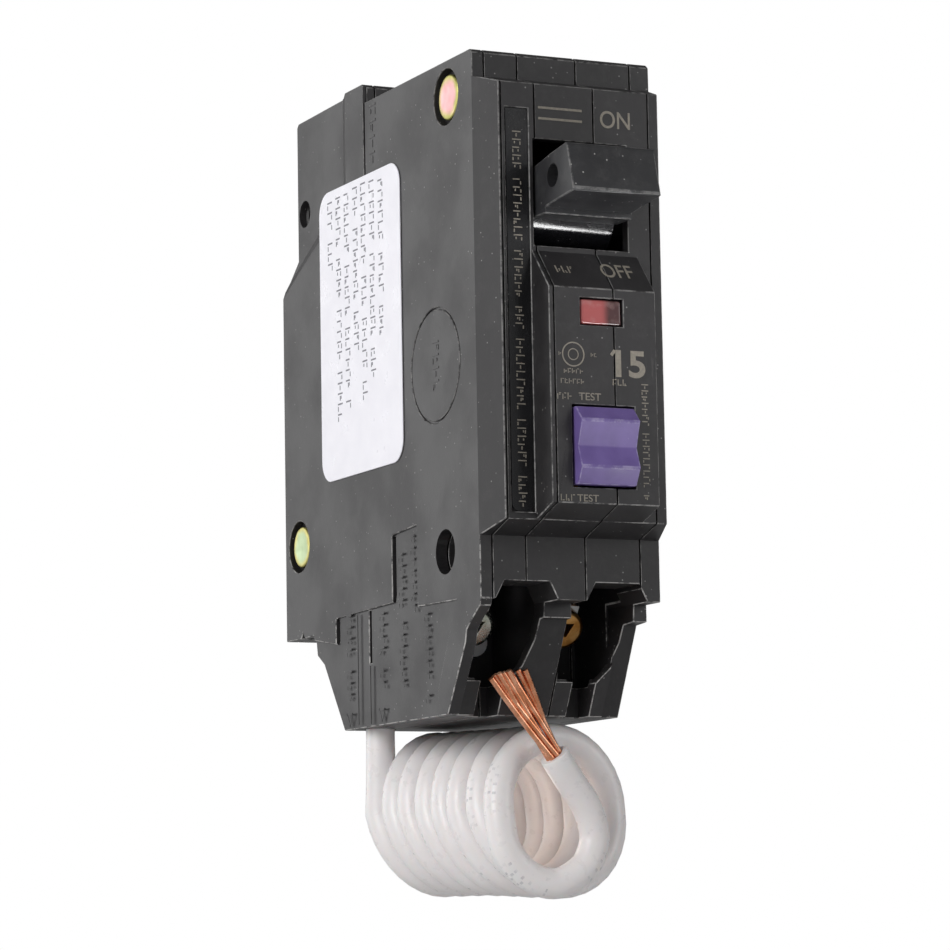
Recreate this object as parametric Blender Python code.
"""One-pole plug-on GFCI breaker with a coiled neutral pigtail.

The case is described in millimetres from its own corner: x across the width from the label side,
y back from the front shoulder face, z up from the load end. place() turns that into the part's
frame: metres, +Z up towards the line end, the handle facing -Y, and the origin in the middle of
the flat rear face, where the breaker rests in a panel.
"""

import math

import bmesh
import bpy
from mathutils import Matrix, Vector

MM = 0.001

# Case
WIDTH = 25.4            # one pole space
HEIGHT = 84.0
DEPTH = 62.7            # front shoulder face to rear rest face
REST_HEIGHT = 38.0      # origin above the load end
WALL = 1.6
SEAM = 0.22             # gap left between case slices
COVER = 1.8             # label side cover
CASE_SEAM = 6.5
CENTRE_SEAM = 14.85
RIGHT_SEAM = 22.7
WEB = (13.5, 14.7)      # wall between electronics and mechanism
MIDDLE_FRONT = -4.71    # raised front face
FRONT = -9.15           # centre block face
BLOCK_X = (5.7, 20.7)

# Handle
HANDLE_PIVOT = (1.5, 63.5)
HANDLE_X = (6.45, 18.75)
HANDLE_DRUM = 5.1
HANDLE_TRAVEL = 28.0    # degrees from on to off
HANDLE_SLOT_X = (6.05, 19.4)
HANDLE_SLOT_Z = (58.1, 71.8)

# Contact arm and trip mechanism
ARM_PIVOT = (10.8, 59.6)
ARM_X = (20.0, 21.4)
CONTACT_Y = 36.0
CRADLE_PIVOT = (30.5, 73.0)
CRADLE_X = (15.2, 16.4)
LATCH_PIVOT = (21.1, 25.7)
SOLENOID_X = 9.1
SOLENOID_Z = 38.0

# Test rocker and window
ROCKER_X = (8.95, 17.15)
ROCKER_Z = (27.35, 37.15)
ROCKER_PIVOT = (-6.2, 32.25)
ROCKER_GAP = 0.3
WINDOW_X = (10.05, 16.1)
WINDOW_Z = (47.5, 51.0)

# Terminals: each lies on an axis that points out of the sloping terminal face
TERMINAL_SLOPE = 30.0
NEUTRAL_X = 4.75
LOAD_X = 17.55
CONDUCTOR_X = 7.7       # neutral conductor through the sensor rings
TERMINAL_SEAT = (15.6, 13.4)
SCREW_HEAD = 2.7
SCREW_SHANK = 1.7

# Rivets, as (y, z)
RIVET_HIGH = (7.9, 79.3)
RIVET_LOW = (57.9, 26.3)
RIVET_FRONT = (10.2, 20.7)
RIVET_REAR = (55.6, 72.8)

# Neutral pigtail
WIRE = 3.9
LEAD_EXIT = (4.05, 40.3)
COIL_REAR = (12.0, 39.5, -11.1)
COIL_FRONT = (16.35, 14.0, -11.93)
COIL_RADIUS = (8.3, 9.2)    # middle of the wire, rear and front
LEAD_ROUTE = [(4.05, 40.3, 7.0), (4.05, 40.3, 4.0), (4.05, 40.3, 1.5), (4.05, 40.3, -0.7)]
TAIL_ROUTE = [(18.8, 10.45, -19.5), (20.25, 10.55, -17.2), (20.6, 10.55, -14.9), (19.3, 10.15, -11.5)]
TAIL_ROUTE += [(16.8, 9.55, -8.4), (14.33, 8.98, -5.21)]
STRANDS = [(14.05, 8.9, -4.85), (7.0, 6.9, 5.2)]


def place(x, y, z):
    """Case millimetres to the part's frame in metres."""
    return Vector((x - WIDTH / 2, y - DEPTH, z - REST_HEIGHT)) * MM


def clear_scene():
    for item in list(bpy.data.objects):
        bpy.data.objects.remove(item, do_unlink=True)


MATERIALS = {
    "case_black": ((0.035, 0.035, 0.038), 0.45, 0.0),
    "nameplate_black": ((0.012, 0.012, 0.013), 0.2, 0.0),
    "handle_black": ((0.03, 0.03, 0.032), 0.4, 0.0),
    "label_white": ((0.85, 0.84, 0.88), 0.5, 0.0),
    "rocker_purple": ((0.16, 0.1, 0.38), 0.4, 0.0),
    "window_red": ((0.65, 0.05, 0.05), 0.2, 0.0),
    "rivet_zinc": ((0.75, 0.7, 0.62), 0.25, 1.0),
    "steel": ((0.6, 0.6, 0.6), 0.35, 1.0),
    "brass": ((0.75, 0.55, 0.25), 0.35, 1.0),
    "copper": ((0.8, 0.4, 0.25), 0.3, 1.0),
    "contact_silver": ((0.85, 0.85, 0.83), 0.25, 1.0),
    "arc_fibre": ((0.5, 0.42, 0.3), 0.8, 0.0),
    "board_green": ((0.03, 0.2, 0.08), 0.5, 0.0),
    "component_dark": ((0.03, 0.03, 0.03), 0.5, 0.0),
    "ferrite_blue": ((0.05, 0.12, 0.35), 0.5, 0.0),
    "winding": ((0.55, 0.22, 0.08), 0.35, 1.0),
    "pigtail_white": ((0.82, 0.8, 0.79), 0.45, 0.0),
}


def material(slot):
    made = bpy.data.materials.get(slot)
    if made:
        return made
    colour, roughness, metallic = MATERIALS[slot]
    made = bpy.data.materials.new(slot)
    made.use_nodes = True
    shader = made.node_tree.nodes["Principled BSDF"]
    shader.inputs["Base Color"].default_value = (*colour, 1.0)
    shader.inputs["Roughness"].default_value = roughness
    shader.inputs["Metallic"].default_value = metallic
    made.diffuse_color = (*colour, 1.0)
    return made


def finish_mesh(name, form, slot, smooth=False):
    """An object from a bmesh whose points are already in the part's frame."""
    bmesh.ops.recalc_face_normals(form, faces=form.faces)
    mesh = bpy.data.meshes.new(name)
    form.to_mesh(mesh)
    form.free()
    if smooth:
        mesh.shade_smooth()
        mesh.set_sharp_from_angle(angle=math.radians(35))
    made = bpy.data.objects.new(name, mesh)
    bpy.context.scene.collection.objects.link(made)
    mesh.materials.append(material(slot))
    return made


def helper(made):
    """Marks a cutter or a guide, which is no sub-part."""
    made.hide_render = True
    made.display_type = "WIRE"
    return made


def extruded(name, outline, axis, start, end, slot="case_black"):
    """A flat outline pushed along an axis. Points are (y, z) for x, (x, z) for y and (x, y) for z."""
    lift = {
        "x": lambda a, b, c: place(c, a, b),
        "y": lambda a, b, c: place(a, c, b),
        "z": lambda a, b, c: place(a, b, c),
    }[axis]
    form = bmesh.new()
    rings = [[form.verts.new(lift(a, b, level)) for a, b in outline] for level in (start, end)]
    form.faces.new(rings[0])
    form.faces.new(reversed(rings[1]))
    for i in range(len(outline)):
        j = (i + 1) % len(outline)
        form.faces.new((rings[0][i], rings[1][i], rings[1][j], rings[0][j]))
    return finish_mesh(name, form, slot)


def lofted(name, first, last, start, end):
    """A solid across the case between two outlines of (y, z) with the same number of points."""
    form = bmesh.new()
    rings = []
    for outline, x in ((first, start), (last, end)):
        rings.append([form.verts.new(place(x, y, z)) for y, z in outline])
    form.faces.new(rings[0])
    form.faces.new(reversed(rings[1]))
    for i in range(len(first)):
        j = (i + 1) % len(first)
        form.faces.new((rings[0][i], rings[1][i], rings[1][j], rings[0][j]))
    return finish_mesh(name, form, "case_black")


def block(name, x, y, z, slot="case_black"):
    outline = [(y[0], z[0]), (y[1], z[0]), (y[1], z[1]), (y[0], z[1])]
    return extruded(name, outline, "x", x[0], x[1], slot)


def circle(centre, radius, count=24, start=0.0, end=360.0):
    """Points of an arc about (a, b), or of a whole circle."""
    whole = abs(end - start) >= 360.0
    steps = count if whole else count - 1
    angles = [math.radians(start + (end - start) * i / steps) for i in range(count)]
    return [(centre[0] + radius * math.cos(t), centre[1] + radius * math.sin(t)) for t in angles]


def disc(name, centre, radius, x, slot="case_black", count=24):
    """A round solid whose axis runs across the case, at (y, z)."""
    made = extruded(name, circle(centre, radius, count), "x", x[0], x[1], slot)
    made.data.shade_smooth()
    made.data.set_sharp_from_angle(angle=math.radians(35))
    return made


def turned(name, profile, base, direction, slot, count=24, closed=False):
    """A turned solid. profile is (radius, distance along the axis) in mm, from base to tip.

    A closed profile makes a ring; an open one starts and ends on the axis.
    """
    axis = Vector(direction).normalized()
    side = axis.orthogonal().normalized()
    other = axis.cross(side)
    origin = place(*base)
    form = bmesh.new()
    rows = []
    for radius, along in profile:
        centre = origin + axis * along * MM
        if radius == 0.0:
            rows.append([form.verts.new(centre)])
            continue
        angles = [2 * math.pi * k / count for k in range(count)]
        spokes = [side * math.cos(t) + other * math.sin(t) for t in angles]
        rows.append([form.verts.new(centre + spoke * radius * MM) for spoke in spokes])
    pairs = list(zip(rows, rows[1:]))
    if closed:
        pairs.append((rows[-1], rows[0]))
    for low, high in pairs:
        for k in range(count):
            m = (k + 1) % count
            corners = [low[k % len(low)], low[m % len(low)], high[m % len(high)], high[k % len(high)]]
            form.faces.new(list(dict.fromkeys(corners)))
    return finish_mesh(name, form, slot, smooth=True)


def rod(name, base, direction, length, radius, slot, count=20):
    profile = [(0.0, 0.0), (radius, 0.0), (radius, length), (0.0, length)]
    return turned(name, profile, base, direction, slot, count)


def boolean(made, tool, operation="DIFFERENCE"):
    change = made.modifiers.new(f"{operation.lower()}_{tool.name}", "BOOLEAN")
    change.operation = operation
    change.object = helper(tool)
    change.solver = "EXACT"
    return made


def cut(made, *tools):
    for tool in tools:
        boolean(made, tool)
    return made


def join(made, *tools):
    for tool in tools:
        boolean(made, tool, "UNION")
    return made


def settle(made):
    """Applies the modifiers, so that a shape can be used many times."""
    graph = bpy.context.evaluated_depsgraph_get()
    mesh = bpy.data.meshes.new_from_object(made.evaluated_get(graph))
    made.modifiers.clear()
    made.data = mesh
    return made


def set_axis(made, x, pivot):
    """Puts the object's origin on its hinge or slide axis at (y, z)."""
    point = place(x, *pivot)
    made.data.transform(Matrix.Translation(-point))
    made.location = point
    return made


# ---------------------------------------------------------------- case slices

FOOT_LEFT = [(0.0, 13.9), (0.4, 13.0), (2.3, 11.8), (4.4, 10.3), (4.8, 8.7), (10.3, 0.0)]
FOOT_MIDDLE = [(0.0, 13.9), (4.0, 13.9), (4.0, 12.0), (5.2, 11.9), (11.4, 0.0)]
FOOT_RIGHT = [(0.0, 13.9), (3.8, 13.9), (3.8, 11.7), (6.6, 11.5), (12.4, 0.0)]


def side_outline(foot):
    """The case from its side, from the terminal end round the back to the front shoulder."""
    load_end = foot + [(43.6, 0.0), (50.3, 9.4), (52.6, 10.8), (53.1, 13.6)]
    rest = [(56.2, 13.5), (56.9, 14.4), (57.6, 13.5), (DEPTH, 13.5), (DEPTH, 62.9)]
    line_end = [(58.1, 66.5), (58.1, 85.5), (57.6, 86.0), (41.4, 86.2), (39.8, 86.7), (34.4, 86.7)]
    return load_end + rest + line_end + [(33.9, 86.2), (33.9, HEIGHT), (0.6, HEIGHT), (0.0, 83.5)]


def raised_front(x0, x1):
    """The tapered raised face and the centre block, between two planes across the width."""
    inset = 1.34
    base = [(0.0, 21.8), (WIDTH, 21.8), (WIDTH, 80.4), (0.0, 80.4)]
    face = [(inset, 23.4), (WIDTH - inset, 23.4), (WIDTH - inset, 78.9), (inset, 78.9)]
    form = bmesh.new()
    back = [form.verts.new(place(x, 2.0, z)) for x, z in base]
    foot = [form.verts.new(place(x, 0.0, z)) for x, z in base]
    front = [form.verts.new(place(x, MIDDLE_FRONT, z)) for x, z in face]
    form.faces.new(back)
    form.faces.new(reversed(front))
    for low, high in ((back, foot), (foot, front)):
        for i in range(4):
            j = (i + 1) % 4
            form.faces.new((low[i], high[i], high[j], low[j]))
    raised = finish_mesh(f"raised_front_{x0}", form, "case_black")
    outline = [(-2.0, 60.6), (FRONT, 52.2), (FRONT, 25.05), (-1.0, 22.2), (1.5, 22.2), (1.5, 60.6)]
    if x0 < BLOCK_X[1] and x1 > BLOCK_X[0]:
        join(raised, extruded(f"centre_block_{x0}", outline, "x", *BLOCK_X))
    slab = block(f"slab_{x0}", (x0, x1), (-20, 20), (0, 100))
    return boolean(raised, slab, "INTERSECT")


def case_slice(name, x0, x1, foot):
    made = extruded(name, side_outline(foot), "x", x0, x1)
    return join(made, raised_front(x0, x1))


def inner_outline():
    """The main hollow from its side: above and behind the terminal pockets."""
    load_end = [(21.5, 24.0), (21.5, WALL), (42.6, WALL), (49.2, 11.0), (51.4, 12.2), (51.4, 15.2)]
    back = [(DEPTH - WALL, 15.2), (DEPTH - WALL, 62.1), (56.5, 65.6), (56.5, 84.5), (35.5, 84.5)]
    return [(WALL, 24.0)] + load_end + back + [(35.5, HEIGHT - WALL), (WALL, HEIGHT - WALL)]


def hollow(name, x0, x1):
    """The room inside the case, with the raised front and the centre block hollowed too."""
    made = extruded(name, inner_outline(), "x", x0, x1)
    front_x = (max(x0, 3.0), min(x1, 23.0))
    block_x = (max(x0, 7.3), min(x1, 19.1))
    join(made, block(f"{name}_front", front_x, (-3.1, 3.0), (25.5, 77.2)))
    join(made, block(f"{name}_block", block_x, (-7.5, 3.0), (26.6, 50.2)))
    return settle(made)


def terminal_opening(name, x, face_x, channel_x):
    """One wire entry: a pocket, its mouth in the lower band and sloping face, and its channel."""
    made = block(name, (x[0] - 3, x[1] + 3), (-1.0, 11.0), (3.0, 17.0))
    a, b = face_x
    mouth = [(a, 4.3), (a - 0.5, 8.4), (a - 0.2, 13.6), (a + 1.2, 16.2)]
    mouth += [(b - 0.9, 16.2), (b + 0.2, 14.0), (b, 9.4), (b - 1.0, 6.2), (b - 2.6, 4.3)]
    shaped = extruded(f"{name}_mouth", mouth, "y", -2.0, 12.0)
    room = [(6.9, 12.6), (11.5, 3.9), (20.0, 3.9), (20.0, 18.2), (6.9, 18.2)]
    behind = extruded(f"{name}_room", room, "x", *x)
    channel = extruded(
        f"{name}_channel", [(2.0, -1.0), (14.4, -1.0), (14.4, 6.0), (2.0, 6.0)], "x", *channel_x
    )
    boolean(made, shaped, "INTERSECT")
    join(made, behind, channel)
    return settle(made)


def rivet_hole(name, centre, radius, x):
    return disc(name, centre, radius, x, count=28)


def jaw_slot():
    """The slot at the line end that takes the panel's stab."""
    return block("jaw_slot", (15.9, 21.9), (45.0, 60.0), (66.6, 88.0))


def make_case():
    left_room = hollow("left_room", -1.0, WEB[0])
    right_room = hollow("right_room", WEB[1], 23.6)
    neutral_way = terminal_opening("neutral_way", (2.05, 11.0), (2.15, 10.6), (4.2, 7.5))
    load_way = terminal_opening("load_way", (14.7, 23.2), (15.0, 23.3), (17.3, 20.6))
    handle_slot = block("handle_slot", HANDLE_SLOT_X, (-6.0, 3.0), HANDLE_SLOT_Z)
    drum_room = disc("drum_room", HANDLE_PIVOT, 6.0, HANDLE_SLOT_X, count=32)
    rocker_hole = block(
        "rocker_hole",
        (ROCKER_X[0] - ROCKER_GAP, ROCKER_X[1] + ROCKER_GAP),
        (-12.0, -3.0),
        (ROCKER_Z[0] - ROCKER_GAP, ROCKER_Z[1] + ROCKER_GAP),
    )
    window_hole = block("window_hole", WINDOW_X, (-12.0, -5.0), WINDOW_Z)
    plate_pocket = block("plate_pocket", (2.25, 5.5), (-6.0, -4.3), (24.3, 75.6))
    exit_hole = rod("exit_hole", (*LEAD_EXIT, -2.0), (0, 0, 1), 6.0, WIRE / 2 + 0.15, "case_black", 28)

    left = case_slice("left_cover", 0.0, COVER - SEAM, FOOT_LEFT)
    cut(left, *label_side_details())

    electronics = case_slice("electronics_case", COVER, CASE_SEAM - SEAM, FOOT_MIDDLE)
    cut(electronics, left_room, neutral_way, handle_slot, drum_room, plate_pocket, exit_hole)
    cut(
        electronics,
        rivet_hole("clear_low", RIVET_LOW, 2.2, (1.0, 7.0)),
        rivet_hole("clear_front", RIVET_FRONT, 2.9, (1.0, 7.0)),
        rivet_hole("clear_rear", RIVET_REAR, 1.9, (1.0, 7.0)),
        rod("neutral_way_in", (CONDUCTOR_X, 19.0, 10.0), (0, 1, 0), 4.0, 2.15, "case_black"),
    )

    centre = case_slice("centre_case", CASE_SEAM, CENTRE_SEAM - SEAM, FOOT_MIDDLE)
    cut(centre, left_room, right_room, neutral_way, handle_slot, drum_room, rocker_hole, window_hole)
    rear_boss = disc("rear_boss", RIVET_REAR, 2.2, (9.6, WEB[0] + 0.5))
    high_boss = disc("high_boss", RIVET_HIGH, 3.3, (6.9, WEB[0] + 0.5))
    low_boss = disc("low_boss", RIVET_LOW, 3.3, (6.9, WEB[0] + 0.5))
    join(centre, rear_boss, high_boss, low_boss)
    cut(
        centre,
        rivet_hole("bore_high", RIVET_HIGH, 1.75, (5.0, 16.0)),
        rivet_hole("bore_low", RIVET_LOW, 1.75, (5.0, 16.0)),
        rivet_hole("bore_front", RIVET_FRONT, 1.75, (5.0, 16.0)),
        rivet_hole("bore_rear", RIVET_REAR, 1.4, (5.0, 16.0)),
        rivet_hole("sink_rear", RIVET_REAR, 1.9, (5.0, 9.5)),
        rivet_hole("sink_front", RIVET_FRONT, 2.9, (5.0, 8.4)),
        rod("neutral_way_on", (CONDUCTOR_X, 19.0, 10.0), (0, 1, 0), 4.0, 2.15, "case_black"),
        disc("web_arm_pin", ARM_PIVOT, 1.1, (13.0, 16.0)),
        disc("web_cradle_pin", CRADLE_PIVOT, 1.1, (13.0, 16.0)),
        block("plunger_window", (13.0, 16.0), (17.4, 26.0), (35.4, 40.6)),
    )

    mechanism = case_slice("mechanism_case", CENTRE_SEAM, RIGHT_SEAM - SEAM, FOOT_MIDDLE)
    cut(mechanism, right_room, load_way, handle_slot, drum_room, rocker_hole, window_hole, jaw_slot())
    cut(
        mechanism,
        rivet_hole("mid_front", RIVET_FRONT, 1.75, (14.0, 24.0)),
        block("strap_way", (LOAD_X - 1.9, LOAD_X + 1.9), (19.0, 22.5), (15.2, 17.0)),
    )

    right = case_slice("right_cover", RIGHT_SEAM, WIDTH, FOOT_RIGHT)
    cut(right, right_room, load_way)
    pin_post = disc("pin_post", HANDLE_PIVOT, 2.4, (19.2, 24.0))
    arm_post = disc("arm_post", ARM_PIVOT, 1.9, (21.7, 24.0))
    join(right, pin_post, arm_post)
    cut(
        right,
        disc("post_bore", HANDLE_PIVOT, 1.3, (18.0, 23.0)),
        disc("arm_post_bore", ARM_PIVOT, 1.1, (20.0, 23.2)),
        rivet_hole("right_high", RIVET_HIGH, 1.75, (20.0, 27.0)),
        rivet_hole("right_low", RIVET_LOW, 1.75, (20.0, 27.0)),
        rivet_hole("right_front", RIVET_FRONT, 1.75, (20.0, 27.0)),
        rivet_hole("right_high_sink", RIVET_HIGH, 3.65, (24.1, 27.0)),
        rivet_hole("right_low_sink", RIVET_LOW, 3.6, (24.1, 27.0)),
        rivet_hole("right_front_sink", RIVET_FRONT, 3.3, (24.1, 27.0)),
    )


def label_side_details():
    """Cutters for the label side: rivet sinks, holes, the moulded ring, steps and slots."""
    ring = turned(
        "moulded_ring",
        [(7.25, -1.0), (7.5, -1.0), (7.5, 0.25), (7.25, 0.25)],
        (0.0, 12.3, 45.0),
        (1, 0, 0),
        "case_black",
        40,
        closed=True,
    )
    line_step = lofted(
        "line_step",
        [(38.4, 62.0), (38.4, 90.0), (66.0, 90.0), (66.0, 58.9), (62.9, 60.2), (50.0, 65.9), (46.0, 67.2)],
        [(42.0, 62.0), (42.0, 90.0), (66.0, 90.0), (66.0, 61.9), (62.9, 63.2), (50.4, 69.2), (46.0, 70.6)],
        -0.5,
        0.5,
    )
    low_panel = [(54.9, 13.2), (45.1, 11.7), (45.1, 15.3), (26.5, 15.7), (26.5, 24.6), (19.0, 25.1)]
    low_panel += [(19.0, 14.5), (7.3, 14.3), (13.1, 3.3), (13.1, -1.0), (56.0, -1.0)]
    return (
        rivet_hole("sink_high", RIVET_HIGH, 3.7, (-1.0, 1.2)),
        rivet_hole("through_high", RIVET_HIGH, 1.75, (-1.0, 2.0)),
        rivet_hole("sink_low", RIVET_LOW, 3.6, (-1.0, 1.2)),
        rivet_hole("through_low", RIVET_LOW, 1.75, (-1.0, 2.0)),
        rivet_hole("front_hole", RIVET_FRONT, 2.9, (-1.0, 2.0)),
        rivet_hole("rear_hole", RIVET_REAR, 1.9, (-1.0, 2.0)),
        ring,
        line_step,
        extruded("low_panel", low_panel, "x", -1.0, 0.3),
        block("line_groove", (-1.0, 0.5), (33.6, 34.1), (72.0, 90.0)),
        block("slot_a", (-1.0, 0.7), (26.1, 26.8), (15.8, 24.4)),
        block("slot_b", (-1.0, 0.7), (34.3, 35.1), (8.4, 15.4)),
        block("slot_c", (-1.0, 0.7), (44.8, 45.5), (11.9, 15.1)),
    )


# ---------------------------------------------------------------- outside trim


def make_trim():
    corner = 3.0
    low = (22.3, 34.0)
    high = (49.0, 74.0)
    centres = [(high[0] - corner, low[1] + corner, -90), (high[0] - corner, high[1] - corner, 0)]
    centres += [(low[0] + corner, high[1] - corner, 90), (low[0] + corner, low[1] + corner, 180)]
    outline = []
    for y, z, start in centres:
        outline += circle((y, z), corner, 6, start, start + 90)
    label = extruded("side_label", outline, "x", -0.2, -0.06, "label_white")
    label.data.shade_smooth()
    label.data.set_sharp_from_angle(angle=math.radians(35))
    block("nameplate_strip", (2.35, 5.4), (-4.62, -4.36), (24.4, 75.5), "nameplate_black")
    for name, centre in (("rivet_high", RIVET_HIGH), ("rivet_low", RIVET_LOW)):
        head = 2.95 if name == "rivet_high" else 2.8
        profile = [(0.0, 0.55), (head - 0.4, 0.55), (head, 0.8), (head, 1.1), (1.45, 1.1)]
        profile += [(1.45, 24.2), (head, 24.2), (head, 24.6), (head - 0.4, 24.85), (0.0, 24.85)]
        turned(name, profile, (0.0, *centre), (1, 0, 0), "rivet_zinc", 28)
    deep = [(0.0, 7.6), (2.4, 7.6), (2.4, 8.2), (1.45, 8.2), (1.45, 24.2), (2.8, 24.2), (2.8, 24.7)]
    turned("case_rivet_front", deep + [(0.0, 24.7)], (0.0, *RIVET_FRONT), (1, 0, 0), "rivet_zinc", 20)
    short = [(0.0, 8.4), (1.8, 8.4), (1.8, 9.2), (1.15, 9.2), (1.15, 14.4), (0.0, 14.4)]
    turned("case_rivet_rear", short, (0.0, *RIVET_REAR), (1, 0, 0), "rivet_zinc", 20)
    block("indicator_window", (10.2, 15.95), (-8.95, -7.2), (47.65, 50.85), "window_red")


# ---------------------------------------------------------------- handle and mechanism


def make_handle():
    y, z = HANDLE_PIVOT
    made = disc("handle", HANDLE_PIVOT, HANDLE_DRUM, HANDLE_X, "handle_black", 36)
    lever = [(-1.0, z - 1.7), (-6.75, 61.75), (-7.15, 61.75), (-7.15, 62.55), (-9.3, 62.8)]
    lever += [(-14.7, 63.25), (-15.0, 63.65), (-13.5, 69.3), (-13.1, 69.7), (-8.7, 69.1), (-2.0, 67.9)]
    join(made, extruded("lever", lever, "x", *HANDLE_X, "handle_black"))
    cut(
        made,
        disc("handle_bore", HANDLE_PIVOT, 1.3, (5.0, 20.0)),
        disc("lock_hole", (-9.4, 66.15), 1.5, (5.0, 20.0)),
        block("spring_notch", (18.15, 20.0), (-3.4, 10.0), (50.0, 75.0)),
    )
    set_axis(made, WIDTH / 2, HANDLE_PIVOT)
    rod("handle_pin", (6.2, y, z), (1, 0, 0), 16.6, 1.2, "steel", 24)


def make_contacts():
    y, z = ARM_PIVOT
    outline = circle(ARM_PIVOT, 2.9, 10, 100, 250)
    outline += [(17.0, 55.6), (33.6, 55.6), (38.0, 56.6), (38.0, 58.9), (20.0, 60.9)]
    arm = extruded("contact_arm", outline, "x", *ARM_X, "copper")
    cut(arm, disc("arm_bore", ARM_PIVOT, 1.1, (18.0, 23.0)))
    set_axis(arm, ARM_X[0], ARM_PIVOT)
    rod("arm_pin", (13.7, y, z), (1, 0, 0), 9.2, 1.0, "steel")
    top = 58.9 + 0.45
    button = rod("moving_contact", (20.7, CONTACT_Y, top), (0, 0, 1), 1.1, 1.9, "contact_silver")
    set_axis(button, ARM_X[0], ARM_PIVOT)
    rod("fixed_contact", (20.7, CONTACT_Y, top + 1.4), (0, 0, 1), 1.0, 1.9, "contact_silver")
    strap_low = top + 2.7
    outline = [(33.0, strap_low), (43.6, strap_low), (43.6, 77.0), (42.4, 77.0), (42.4, strap_low + 1.3)]
    extruded("line_strap", outline + [(33.0, strap_low + 1.3)], "x", 18.6, 22.2, "copper")


def make_jaw():
    jaw = extruded(
        "line_jaw",
        [(16.8, 57.4), (17.3, 57.4), (17.7, 55.4), (17.7, 46.6), (20.1, 46.6), (20.1, 55.4)]
        + [(20.5, 57.4), (21.0, 57.4), (21.0, 45.6), (16.8, 45.6)],
        "z",
        68.4,
        83.6,
        "copper",
    )
    join(jaw, block("jaw_tab", (18.7, 22.1), (43.9, 45.8), (68.4, 76.8)))
    spring = [(16.15, 55.0), (16.5, 55.0), (16.5, 45.3), (17.4, 45.3), (17.4, 44.6), (16.15, 44.6)]
    jaw_spring = extruded("jaw_spring", spring, "z", 70.0, 82.0, "steel")
    other = [(21.3, 55.0), (21.65, 55.0), (21.65, 44.6), (20.9, 44.6), (20.9, 45.3), (21.3, 45.3)]
    bridge = block("spring_bridge", (16.4, 21.4), (44.3, 44.9), (78.4, 82.0))
    join(jaw_spring, extruded("spring_leaf", other, "z", 78.4, 82.0), bridge)


def make_arc_chute():
    for i in range(3):
        z = 42.4 + 3.6 * i
        notch = [(17.6, 41.5), (19.0, 45.0), (22.2, 45.0), (22.2, 48.4), (15.9, 48.4), (15.9, 41.5)]
        extruded(f"arc_plate_{i + 1}", notch, "z", z, z + 0.9, "steel")
    outline = [(15.2, 41.2), (15.6, 41.2), (15.6, 48.8), (22.2, 48.8), (22.2, 49.3), (15.2, 49.3)]
    extruded("arc_frame", outline, "z", 40.6, 53.0, "arc_fibre")


def make_trip():
    y, z = CRADLE_PIVOT
    outline = circle(CRADLE_PIVOT, 2.6, 9, -20, 150)
    outline += [(22.0, 66.0), (13.2, 44.4), (12.8, 41.8), (14.8, 41.4), (20.0, 46.6), (27.0, 58.0)]
    cradle = extruded("cradle", outline, "x", *CRADLE_X, "steel")
    cut(cradle, disc("cradle_bore", CRADLE_PIVOT, 1.1, (14.0, 18.0)))
    set_axis(cradle, CRADLE_X[0], CRADLE_PIVOT)
    rod("cradle_pin", (13.7, y, z), (1, 0, 0), 9.2, 1.0, "steel")
    rod("toggle_spring", (18.3, 13.4, 53.6), (0, 14, -2.4), 12.5, 1.5, "steel", 16)
    y, z = LATCH_PIVOT
    latch = block("latch", (16.8, 21.2), (20.6, 21.5), (26.0, 41.0), "steel")
    join(latch, disc("latch_eye", LATCH_PIVOT, 1.3, (16.8, 21.2), count=20))
    cut(latch, disc("latch_bore", LATCH_PIVOT, 0.7, (15.0, 23.0), count=16))
    set_axis(latch, 16.8, LATCH_PIVOT)
    rod("latch_pin", (15.1, y, z), (1, 0, 0), 7.3, 0.6, "steel", 16)
    yoke = block("magnet_yoke", (16.4, 21.6), (23.4, 28.4), (28.0, 35.0), "steel")
    cut(yoke, block("yoke_room", (17.6, 20.4), (20.0, 27.0), (27.0, 36.0)))
    extruded(
        "bimetal",
        [(24.4, 16.0), (25.2, 16.0), (25.2, 43.0), (24.4, 43.0)],
        "x",
        18.2,
        19.8,
        "brass",
    )
    rod("calibration_screw", (19.0, 25.5, 20.4), (0, 1, 0), 8.0, 1.3, "brass", 16)


def make_solenoid():
    base = (SOLENOID_X, 30.4, SOLENOID_Z)
    coil = [(2.15, 0.0), (4.2, 0.0), (4.2, 1.0), (3.6, 1.0), (3.6, 11.2), (4.2, 11.2), (4.2, 12.2), (2.15, 12.2)]
    turned("solenoid_coil", coil, base, (0, 1, 0), "winding", 24, closed=True)
    frame = block("solenoid_frame", (4.9, 13.2), (29.0, 44.2), (32.6, 43.4), "steel")
    cut(
        frame,
        block("frame_room", (4.0, 14.0), (30.1, 43.0), (33.6, 42.4)),
        rod("frame_bore", (SOLENOID_X, 25.0, SOLENOID_Z), (0, 1, 0), 25.0, 2.15, "steel", 24),
        block("frame_side", (3.0, 5.4), (20.0, 50.0), (30.0, 46.0)),
    )
    plunger = rod("plunger", (SOLENOID_X, 20.0, SOLENOID_Z), (0, 1, 0), 17.0, 1.9, "steel", 24)
    join(plunger, block("plunger_arm", (SOLENOID_X, 18.4), (18.6, 20.2), (36.6, 39.4)))
    set_axis(plunger, SOLENOID_X, (20.0, SOLENOID_Z))
    spring = [(2.2, 0.0), (2.9, 0.0), (2.9, 4.6), (2.2, 4.6)]
    turned("plunger_spring", spring, (SOLENOID_X, 24.1, SOLENOID_Z), (0, 1, 0), "steel", 20, closed=True)


# ---------------------------------------------------------------- terminals


def terminal_axis():
    tilt = math.radians(TERMINAL_SLOPE)
    return Vector((0.0, -math.cos(tilt), -math.sin(tilt)))


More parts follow.
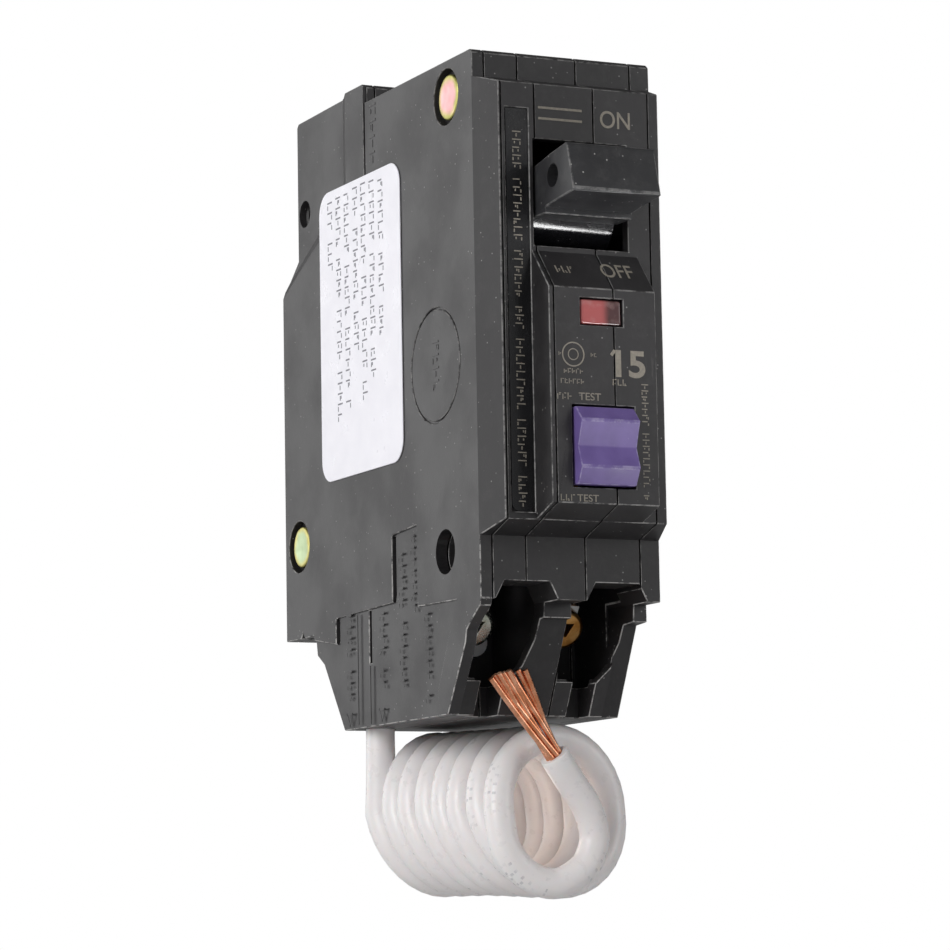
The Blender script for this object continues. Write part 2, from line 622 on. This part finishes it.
def terminal_plate(name, x, half, along, thick, slot):
    """A plate square to a terminal's axis with the screw's clearance hole."""
    out = terminal_axis()
    up = Vector((0.0, out.z, -out.y))
    centre = Vector((x, *TERMINAL_SEAT)) + out * along
    corners = []
    for a, b in ((-1, -1), (1, -1), (1, 1), (-1, 1)):
        corners.append(Vector((a * half[0], 0, 0)) + up * (b * half[1]))
    form = bmesh.new()
    back = [form.verts.new(place(*(centre + c))) for c in corners]
    front = [form.verts.new(place(*(centre + c + out * thick))) for c in corners]
    form.faces.new(back)
    form.faces.new(reversed(front))
    for i in range(4):
        j = (i + 1) % 4
        form.faces.new((back[i], front[i], front[j], back[j]))
    made = finish_mesh(name, form, slot)
    base = centre - out * 3.0
    return cut(made, rod(f"{name}_hole", tuple(base), out, 8.0, SCREW_SHANK + 0.12, slot, 20))


def make_terminal(kind, x, metal):
    out = terminal_axis()
    seat = Vector((x, *TERMINAL_SEAT))
    terminal_plate(f"{kind}_terminal", x, (2.45, 3.5), 0.0, 1.2, "brass")
    clamp = terminal_plate(f"{kind}_clamp", x, (2.4, 2.6), 1.6, 0.9, "steel")
    base = seat - out * 0.5
    profile = [(0.0, 0.0), (SCREW_SHANK, 0.0), (SCREW_SHANK, 3.2), (SCREW_HEAD, 3.2)]
    profile += [(SCREW_HEAD, 4.8), (SCREW_HEAD - 0.5, 5.2), (0.0, 5.2)]
    screw = turned(f"{kind}_screw", profile, tuple(base), out, metal, 28)
    tip = base + out * 5.2
    slot = block(f"{kind}_screw_slot", (x - 0.45, x + 0.45), (-4, 4), (-0.8, 0.8))
    turn = Matrix.Rotation(math.radians(-TERMINAL_SLOPE), 4, "X")
    spin = Matrix.Rotation(math.radians(38), 4, "Y")
    slot.data.transform(Matrix.Translation(-place(x, 0, 0)))
    slot.data.transform(turn @ spin @ Matrix.Rotation(math.radians(90), 4, "X"))
    slot.location = place(*tip)
    cut(screw, slot)
    for made in (clamp, screw):
        set_axis(made, x, TERMINAL_SEAT)


def make_conductors():
    x = LOAD_X
    outline = [(14.9, 15.6), (24.1, 15.6), (24.1, 18.2), (23.1, 18.2), (23.1, 16.6), (14.6, 16.6)]
    extruded("load_strap", outline, "x", x - 1.6, x + 1.6, "copper")


# ---------------------------------------------------------------- electronics


def make_electronics():
    board = block("circuit_board", (3.9, 4.7), (6.5, 55.0), (25.5, 56.5), "board_green")
    cut(board, block("board_notch", (3.0, 6.0), (30.0, 43.0), (33.0, 43.0)))
    block("controller_chip", (5.0, 6.6), (10.5, 18.0), (42.0, 49.5), "component_dark")
    rod("capacitor", (8.2, 49.5, 46.0), (0, 0, 1), 9.0, 3.0, "component_dark", 24)
    rod("varistor", (5.0, 25.0, 51.0), (1, 0, 0), 2.6, 4.2, "ferrite_blue", 24)
    rod("indicator_lamp", (11.6, -6.7, 48.6), (0, 1, 0), 3.6, 1.4, "component_dark", 20)
    ring = [(2.9, 0.0), (5.4, 0.0), (5.4, 3.8), (2.9, 3.8)]
    turned("fault_sensor", ring, (CONDUCTOR_X, 24.0, 10.0), (0, 1, 0), "ferrite_blue", 28, closed=True)
    turned("neutral_sensor", ring, (CONDUCTOR_X, 29.0, 10.0), (0, 1, 0), "ferrite_blue", 28, closed=True)
    rod("neutral_conductor", (CONDUCTOR_X, 18.3, 10.0), (0, 1, 0), 18.0, 1.9, "pigtail_white", 20)


def make_rocker():
    y, z = ROCKER_PIVOT
    low, high = ROCKER_Z
    outline = [(-8.0, low), (-9.8, low), (-10.95, low + 2.0), (-10.95, low + 2.25), (-10.0, z - 0.25)]
    outline += [(-10.0, z), (-11.1, high - 2.0), (-11.1, high - 1.7), (-9.5, high), (-8.0, high)]
    outline += [(-5.0, z + 2.0), (-5.0, z - 2.0)]
    rocker = extruded("test_rocker", outline, "x", *ROCKER_X, "rocker_purple")
    cut(rocker, disc("rocker_bore", ROCKER_PIVOT, 0.85, (7.0, 19.0), count=16))
    set_axis(rocker, WIDTH / 2, ROCKER_PIVOT)
    rod("rocker_pin", (7.5, y, z), (1, 0, 0), 11.4, 0.75, "steel", 16)
    leaf = [(-2.7, 27.0), (-2.3, 27.0), (-2.3, 37.4), (-2.7, 37.4)]
    extruded("test_leaf", leaf, "x", 10.5, 12.5, "brass")


# ---------------------------------------------------------------- neutral pigtail


def tube(name, points, radius, slot):
    """A cord along a smooth curve through the given points."""
    spine = smooth_route([Vector(p) for p in points], 2.0 * radius * 1.2)
    curve = bpy.data.curves.new(name, "CURVE")
    curve.dimensions = "3D"
    curve.bevel_depth = radius * MM
    curve.bevel_resolution = 2
    curve.use_fill_caps = True
    spline = curve.splines.new("POLY")
    spline.points.add(len(spine) - 1)
    for slot_point, point in zip(spline.points, spine):
        slot_point.co = (*place(*point), 1.0)
    curve.materials.append(material(slot))
    made = bpy.data.objects.new(name, curve)
    bpy.context.scene.collection.objects.link(made)
    return made


def smooth_route(points, spacing):
    """Points at even steps on the Catmull-Rom curve through the route's own points."""
    ends = [2 * points[0] - points[1], *points, 2 * points[-1] - points[-2]]
    fine = []
    for a, b, c, d in zip(ends, ends[1:], ends[2:], ends[3:]):
        for k in range(20):
            t = k / 20
            fine.append(
                0.5 * (2 * b + (c - a) * t + (2 * a - 5 * b + 4 * c - d) * t**2
                       + (3 * b - a - 3 * c + d) * t**3)
            )
    fine.append(points[-1])
    total = sum((q - p).length for p, q in zip(fine, fine[1:]))
    count = max(3, round(total / spacing))
    route, walked, target = [fine[0]], 0.0, total / count
    for p, q in zip(fine, fine[1:]):
        walked += (q - p).length
        if walked >= target and len(route) < count:
            route.append(q)
            target += total / count
    return route + [fine[-1]]


def make_pigtail():
    tube("pigtail_lead", LEAD_ROUTE, WIRE / 2, "pigtail_white")
    tube("pigtail_tail", TAIL_ROUTE, WIRE / 2, "pigtail_white")
    rear, front = Vector(COIL_REAR), Vector(COIL_FRONT)
    axis = (front - rear).normalized()
    half = WIRE / 2
    length = (front - rear).length + half
    low, high = COIL_RADIUS
    profile = [(low - half, -half), (low + half, -half), (high + half, length), (high - half, length)]
    turned("pigtail_coil", profile, COIL_REAR, axis, "pigtail_white", 32, closed=True)
    make_strands()


def make_strands():
    """The bared conductor as one solid: round at the insulation, fanned flat at the tips."""
    start, end = Vector(STRANDS[0]), Vector(STRANDS[1])
    along = (end - start).normalized()
    across = along.cross(Vector((0, 1, 0))).normalized()
    deep = across.cross(along)
    form = bmesh.new()
    rings = []
    for centre, wide, thick in ((start, 1.1, 1.1), (start.lerp(end, 0.5), 1.3, 1.0), (end, 2.5, 0.5)):
        angles = [2 * math.pi * k / 12 for k in range(12)]
        around = [centre + across * wide * math.cos(t) + deep * thick * math.sin(t) for t in angles]
        rings.append([form.verts.new(place(*p)) for p in around])
    form.faces.new(rings[0])
    form.faces.new(reversed(rings[-1]))
    for low, high in zip(rings, rings[1:]):
        for k in range(12):
            m = (k + 1) % 12
            form.faces.new((low[k], low[m], high[m], high[k]))
    finish_mesh("pigtail_strands", form, "copper", smooth=True)


def make_braid():
    route = [(21.1, 15.5, 53.9), (21.1, 18.5, 51.0), (20.7, 22.5, 47.8), (19.5, 25.0, 44.6)]
    tube("flexible_braid", route, 0.9, "copper")


def main():
    clear_scene()
    make_case()
    make_trim()
    make_handle()
    make_contacts()
    make_jaw()
    make_arc_chute()
    make_trip()
    make_solenoid()
    make_terminal("neutral", NEUTRAL_X, "steel")
    make_terminal("load", LOAD_X, "brass")
    make_conductors()
    make_electronics()
    make_rocker()
    make_braid()
    make_pigtail()


main()
